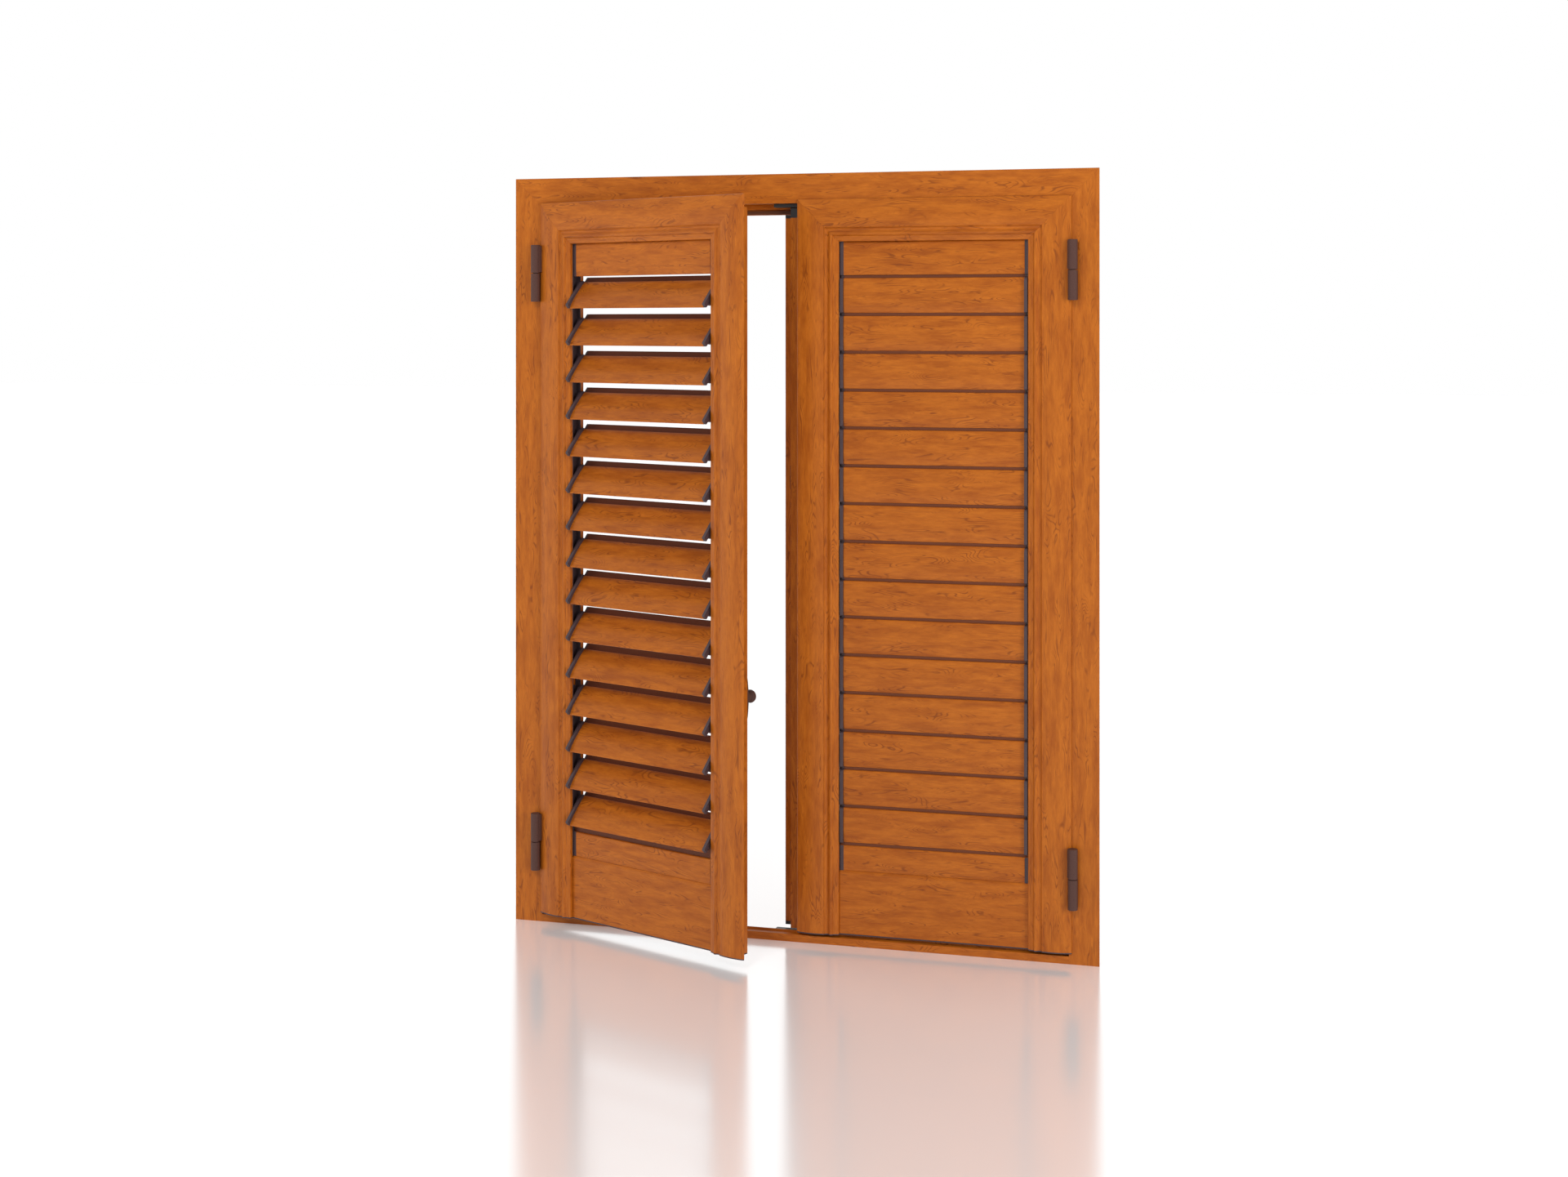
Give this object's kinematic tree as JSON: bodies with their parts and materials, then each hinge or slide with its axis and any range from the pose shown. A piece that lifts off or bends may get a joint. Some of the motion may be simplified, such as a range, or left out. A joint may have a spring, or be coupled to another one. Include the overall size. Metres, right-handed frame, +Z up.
{
  "type": "louvred shutters",
  "caption": "Hinged louvred shutters with knob-driven tilting slats in a rebated frame with threshold, the left leaf ajar with its slats half open and the right leaf shut.",
  "frame": {"origin": "middle of the underside of the threshold, in the plane of the frame's face", "axes": "+Z up along the jambs, +Y into the opening, +X to the right as seen from outside; the leaves open towards -Y"},
  "size_m": [1.025, 0.2614, 1.3],
  "materials": {
    "wood_effect": "wood-effect powder coat on aluminium, semi-matte",
    "black_plastic": "dark moulded plastic",
    "seal": "matte",
    "bare_aluminium": "mill finish",
    "bronze": "dark bronze coat, satin"
  },
  "bodies": {
    "frame": {"frame_head": "wood_effect", "frame_jambs": "wood_effect", "frame_threshold": "wood_effect", "frame_corner_cleats": "bare_aluminium", "frame_seal": "seal", "frame_hinge_halves": "bronze", "bolt_keepers": "black_plastic"},
    "left_leaf": {"left_stiles": "wood_effect", "left_top_rail": "wood_effect", "left_bottom_rail": "wood_effect", "left_fixed_panels": "wood_effect", "left_bearing_channels": "black_plastic", "left_knob_base": "bronze", "left_bottom_cap": "black_plastic", "left_hinge_halves": "bronze"},
    "left_knob": {"left_knob": "bronze"},
    "left_slat_01": {"left_slat_01": "wood_effect"},
    "left_slat_02": {"left_slat_02": "wood_effect"},
    "left_slat_03": {"left_slat_03": "wood_effect"},
    "left_slat_04": {"left_slat_04": "wood_effect"},
    "left_slat_05": {"left_slat_05": "wood_effect"},
    "left_slat_06": {"left_slat_06": "wood_effect"},
    "left_slat_07": {"left_slat_07": "wood_effect"},
    "left_slat_08": {"left_slat_08": "wood_effect"},
    "left_slat_09": {"left_slat_09": "wood_effect"},
    "left_slat_10": {"left_slat_10": "wood_effect"},
    "left_slat_11": {"left_slat_11": "wood_effect"},
    "left_slat_12": {"left_slat_12": "wood_effect"},
    "left_slat_13": {"left_slat_13": "wood_effect"},
    "left_slat_14": {"left_slat_14": "wood_effect"},
    "left_slat_15": {"left_slat_15": "wood_effect"},
    "left_control_rod": {"left_control_rod": "bare_aluminium"},
    "right_leaf": {"right_stiles": "wood_effect", "right_top_rail": "wood_effect", "right_bottom_rail": "wood_effect", "right_fixed_panels": "wood_effect", "right_bearing_channels": "black_plastic", "right_knob_base": "bronze", "right_bottom_cap": "black_plastic", "right_hinge_halves": "bronze", "right_astragal": "wood_effect"},
    "right_knob": {"right_knob": "bronze"},
    "right_slat_01": {"right_slat_01": "wood_effect"},
    "right_slat_02": {"right_slat_02": "wood_effect"},
    "right_slat_03": {"right_slat_03": "wood_effect"},
    "right_slat_04": {"right_slat_04": "wood_effect"},
    "right_slat_05": {"right_slat_05": "wood_effect"},
    "right_slat_06": {"right_slat_06": "wood_effect"},
    "right_slat_07": {"right_slat_07": "wood_effect"},
    "right_slat_08": {"right_slat_08": "wood_effect"},
    "right_slat_09": {"right_slat_09": "wood_effect"},
    "right_slat_10": {"right_slat_10": "wood_effect"},
    "right_slat_11": {"right_slat_11": "wood_effect"},
    "right_slat_12": {"right_slat_12": "wood_effect"},
    "right_slat_13": {"right_slat_13": "wood_effect"},
    "right_slat_14": {"right_slat_14": "wood_effect"},
    "right_slat_15": {"right_slat_15": "wood_effect"},
    "right_control_rod": {"right_control_rod": "bare_aluminium"},
    "right_top_bolt": {"right_top_bolt": "bronze"},
    "right_bottom_bolt": {"right_bottom_bolt": "bronze"}
  },
  "joints": [
    {"name": "left_leaf_swing", "type": "hinge", "parent": "frame", "child": "left_leaf", "pos_m": [-0.4706, -0.0113, 0.65], "axis": [0, 0, -1], "range_deg": [-23, 157]},
    {"name": "right_leaf_swing", "type": "hinge", "parent": "frame", "child": "right_leaf", "pos_m": [0.4706, -0.0113, 0.65], "axis": [0, 0, 1], "range_deg": [0, 180]},
    {"name": "left_knob_turn", "type": "hinge", "parent": "left_leaf", "child": "left_knob", "pos_m": [-0.06277, -0.13846, 0.431], "axis": [-0.3907, -0.9205, 0], "range_deg": [-40.6, 49.4]},
    {"name": "left_slat_01_tilt", "type": "hinge", "parent": "left_leaf", "child": "left_slat_01", "pos_m": [-0.24479, -0.08293, 1.09242], "axis": [-0.9205, 0.3907, 0], "range_deg": [-40.6, 49.4]},
    {"name": "left_slat_02_tilt", "type": "hinge", "parent": "left_leaf", "child": "left_slat_02", "pos_m": [-0.24479, -0.08293, 1.02874], "axis": [-0.9205, 0.3907, 0], "range_deg": [-40.6, 49.4]},
    {"name": "left_slat_03_tilt", "type": "hinge", "parent": "left_leaf", "child": "left_slat_03", "pos_m": [-0.24479, -0.08293, 0.96506], "axis": [-0.9205, 0.3907, 0], "range_deg": [-40.6, 49.4]},
    {"name": "left_slat_04_tilt", "type": "hinge", "parent": "left_leaf", "child": "left_slat_04", "pos_m": [-0.24479, -0.08293, 0.90138], "axis": [-0.9205, 0.3907, 0], "range_deg": [-40.6, 49.4]},
    {"name": "left_slat_05_tilt", "type": "hinge", "parent": "left_leaf", "child": "left_slat_05", "pos_m": [-0.24479, -0.08293, 0.8377], "axis": [-0.9205, 0.3907, 0], "range_deg": [-40.6, 49.4]},
    {"name": "left_slat_06_tilt", "type": "hinge", "parent": "left_leaf", "child": "left_slat_06", "pos_m": [-0.24479, -0.08293, 0.77402], "axis": [-0.9205, 0.3907, 0], "range_deg": [-40.6, 49.4]},
    {"name": "left_slat_07_tilt", "type": "hinge", "parent": "left_leaf", "child": "left_slat_07", "pos_m": [-0.24479, -0.08293, 0.71034], "axis": [-0.9205, 0.3907, 0], "range_deg": [-40.6, 49.4]},
    {"name": "left_slat_08_tilt", "type": "hinge", "parent": "left_leaf", "child": "left_slat_08", "pos_m": [-0.24479, -0.08293, 0.64666], "axis": [-0.9205, 0.3907, 0], "range_deg": [-40.6, 49.4]},
    {"name": "left_slat_09_tilt", "type": "hinge", "parent": "left_leaf", "child": "left_slat_09", "pos_m": [-0.24479, -0.08293, 0.58298], "axis": [-0.9205, 0.3907, 0], "range_deg": [-40.6, 49.4]},
    {"name": "left_slat_10_tilt", "type": "hinge", "parent": "left_leaf", "child": "left_slat_10", "pos_m": [-0.24479, -0.08293, 0.5193], "axis": [-0.9205, 0.3907, 0], "range_deg": [-40.6, 49.4]},
    {"name": "left_slat_11_tilt", "type": "hinge", "parent": "left_leaf", "child": "left_slat_11", "pos_m": [-0.24479, -0.08293, 0.45562], "axis": [-0.9205, 0.3907, 0], "range_deg": [-40.6, 49.4]},
    {"name": "left_slat_12_tilt", "type": "hinge", "parent": "left_leaf", "child": "left_slat_12", "pos_m": [-0.24479, -0.08293, 0.39194], "axis": [-0.9205, 0.3907, 0], "range_deg": [-40.6, 49.4]},
    {"name": "left_slat_13_tilt", "type": "hinge", "parent": "left_leaf", "child": "left_slat_13", "pos_m": [-0.24479, -0.08293, 0.32826], "axis": [-0.9205, 0.3907, 0], "range_deg": [-40.6, 49.4]},
    {"name": "left_slat_14_tilt", "type": "hinge", "parent": "left_leaf", "child": "left_slat_14", "pos_m": [-0.24479, -0.08293, 0.26458], "axis": [-0.9205, 0.3907, 0], "range_deg": [-40.6, 49.4]},
    {"name": "left_slat_15_tilt", "type": "hinge", "parent": "left_leaf", "child": "left_slat_15", "pos_m": [-0.24479, -0.08293, 0.2009], "axis": [-0.9205, 0.3907, 0], "range_deg": [-40.6, 49.4]},
    {"name": "left_rod_link", "type": "hinge", "parent": "left_slat_01", "child": "left_control_rod", "pos_m": [-0.08975, -0.14061, 1.093], "axis": [-0.9205, 0.3907, 0], "range_deg": [-49.4, 40.6]},
    {"name": "right_knob_turn", "type": "hinge", "parent": "right_leaf", "child": "right_knob", "pos_m": [0.0455, 0.031, 0.431], "axis": [0, 1, 0], "range_deg": [0, 90]},
    {"name": "right_slat_01_tilt", "type": "hinge", "parent": "right_leaf", "child": "right_slat_01", "pos_m": [0.23475, 0.011, 1.09242], "axis": [-1, 0, 0], "range_deg": [0, 90]},
    {"name": "right_slat_02_tilt", "type": "hinge", "parent": "right_leaf", "child": "right_slat_02", "pos_m": [0.23475, 0.011, 1.02874], "axis": [-1, 0, 0], "range_deg": [0, 90]},
    {"name": "right_slat_03_tilt", "type": "hinge", "parent": "right_leaf", "child": "right_slat_03", "pos_m": [0.23475, 0.011, 0.96506], "axis": [-1, 0, 0], "range_deg": [0, 90]},
    {"name": "right_slat_04_tilt", "type": "hinge", "parent": "right_leaf", "child": "right_slat_04", "pos_m": [0.23475, 0.011, 0.90138], "axis": [-1, 0, 0], "range_deg": [0, 90]},
    {"name": "right_slat_05_tilt", "type": "hinge", "parent": "right_leaf", "child": "right_slat_05", "pos_m": [0.23475, 0.011, 0.8377], "axis": [-1, 0, 0], "range_deg": [0, 90]},
    {"name": "right_slat_06_tilt", "type": "hinge", "parent": "right_leaf", "child": "right_slat_06", "pos_m": [0.23475, 0.011, 0.77402], "axis": [-1, 0, 0], "range_deg": [0, 90]},
    {"name": "right_slat_07_tilt", "type": "hinge", "parent": "right_leaf", "child": "right_slat_07", "pos_m": [0.23475, 0.011, 0.71034], "axis": [-1, 0, 0], "range_deg": [0, 90]},
    {"name": "right_slat_08_tilt", "type": "hinge", "parent": "right_leaf", "child": "right_slat_08", "pos_m": [0.23475, 0.011, 0.64666], "axis": [-1, 0, 0], "range_deg": [0, 90]},
    {"name": "right_slat_09_tilt", "type": "hinge", "parent": "right_leaf", "child": "right_slat_09", "pos_m": [0.23475, 0.011, 0.58298], "axis": [-1, 0, 0], "range_deg": [0, 90]},
    {"name": "right_slat_10_tilt", "type": "hinge", "parent": "right_leaf", "child": "right_slat_10", "pos_m": [0.23475, 0.011, 0.5193], "axis": [-1, 0, 0], "range_deg": [0, 90]},
    {"name": "right_slat_11_tilt", "type": "hinge", "parent": "right_leaf", "child": "right_slat_11", "pos_m": [0.23475, 0.011, 0.45562], "axis": [-1, 0, 0], "range_deg": [0, 90]},
    {"name": "right_slat_12_tilt", "type": "hinge", "parent": "right_leaf", "child": "right_slat_12", "pos_m": [0.23475, 0.011, 0.39194], "axis": [-1, 0, 0], "range_deg": [0, 90]},
    {"name": "right_slat_13_tilt", "type": "hinge", "parent": "right_leaf", "child": "right_slat_13", "pos_m": [0.23475, 0.011, 0.32826], "axis": [-1, 0, 0], "range_deg": [0, 90]},
    {"name": "right_slat_14_tilt", "type": "hinge", "parent": "right_leaf", "child": "right_slat_14", "pos_m": [0.23475, 0.011, 0.26458], "axis": [-1, 0, 0], "range_deg": [0, 90]},
    {"name": "right_slat_15_tilt", "type": "hinge", "parent": "right_leaf", "child": "right_slat_15", "pos_m": [0.23475, 0.011, 0.2009], "axis": [-1, 0, 0], "range_deg": [0, 90]},
    {"name": "right_rod_link", "type": "hinge", "parent": "right_slat_01", "child": "right_control_rod", "pos_m": [0.0695, 0.0163, 1.09772], "axis": [-1, 0, 0], "range_deg": [-90, 0]},
    {"name": "right_top_bolt_slide", "type": "slide", "parent": "right_leaf", "child": "right_top_bolt", "axis": [0, 0, 1], "range_m": [0, 0.013]},
    {"name": "right_bottom_bolt_slide", "type": "slide", "parent": "right_leaf", "child": "right_bottom_bolt", "axis": [0, 0, -1], "range_m": [0, 0.013]}
  ],
  "couplings": [
    {"joint": "left_slat_01_tilt", "follows": "left_knob_turn", "ratio": 1},
    {"joint": "left_slat_02_tilt", "follows": "left_knob_turn", "ratio": 1},
    {"joint": "left_slat_03_tilt", "follows": "left_knob_turn", "ratio": 1},
    {"joint": "left_slat_04_tilt", "follows": "left_knob_turn", "ratio": 1},
    {"joint": "left_slat_05_tilt", "follows": "left_knob_turn", "ratio": 1},
    {"joint": "left_slat_06_tilt", "follows": "left_knob_turn", "ratio": 1},
    {"joint": "left_slat_07_tilt", "follows": "left_knob_turn", "ratio": 1},
    {"joint": "left_slat_08_tilt", "follows": "left_knob_turn", "ratio": 1},
    {"joint": "left_slat_09_tilt", "follows": "left_knob_turn", "ratio": 1},
    {"joint": "left_slat_10_tilt", "follows": "left_knob_turn", "ratio": 1},
    {"joint": "left_slat_11_tilt", "follows": "left_knob_turn", "ratio": 1},
    {"joint": "left_slat_12_tilt", "follows": "left_knob_turn", "ratio": 1},
    {"joint": "left_slat_13_tilt", "follows": "left_knob_turn", "ratio": 1},
    {"joint": "left_slat_14_tilt", "follows": "left_knob_turn", "ratio": 1},
    {"joint": "left_slat_15_tilt", "follows": "left_knob_turn", "ratio": 1},
    {"joint": "left_rod_link", "follows": "left_knob_turn", "ratio": -1},
    {"joint": "right_slat_01_tilt", "follows": "right_knob_turn", "ratio": 1},
    {"joint": "right_slat_02_tilt", "follows": "right_knob_turn", "ratio": 1},
    {"joint": "right_slat_03_tilt", "follows": "right_knob_turn", "ratio": 1},
    {"joint": "right_slat_04_tilt", "follows": "right_knob_turn", "ratio": 1},
    {"joint": "right_slat_05_tilt", "follows": "right_knob_turn", "ratio": 1},
    {"joint": "right_slat_06_tilt", "follows": "right_knob_turn", "ratio": 1},
    {"joint": "right_slat_07_tilt", "follows": "right_knob_turn", "ratio": 1},
    {"joint": "right_slat_08_tilt", "follows": "right_knob_turn", "ratio": 1},
    {"joint": "right_slat_09_tilt", "follows": "right_knob_turn", "ratio": 1},
    {"joint": "right_slat_10_tilt", "follows": "right_knob_turn", "ratio": 1},
    {"joint": "right_slat_11_tilt", "follows": "right_knob_turn", "ratio": 1},
    {"joint": "right_slat_12_tilt", "follows": "right_knob_turn", "ratio": 1},
    {"joint": "right_slat_13_tilt", "follows": "right_knob_turn", "ratio": 1},
    {"joint": "right_slat_14_tilt", "follows": "right_knob_turn", "ratio": 1},
    {"joint": "right_slat_15_tilt", "follows": "right_knob_turn", "ratio": 1},
    {"joint": "right_rod_link", "follows": "right_knob_turn", "ratio": -1}
  ]
}
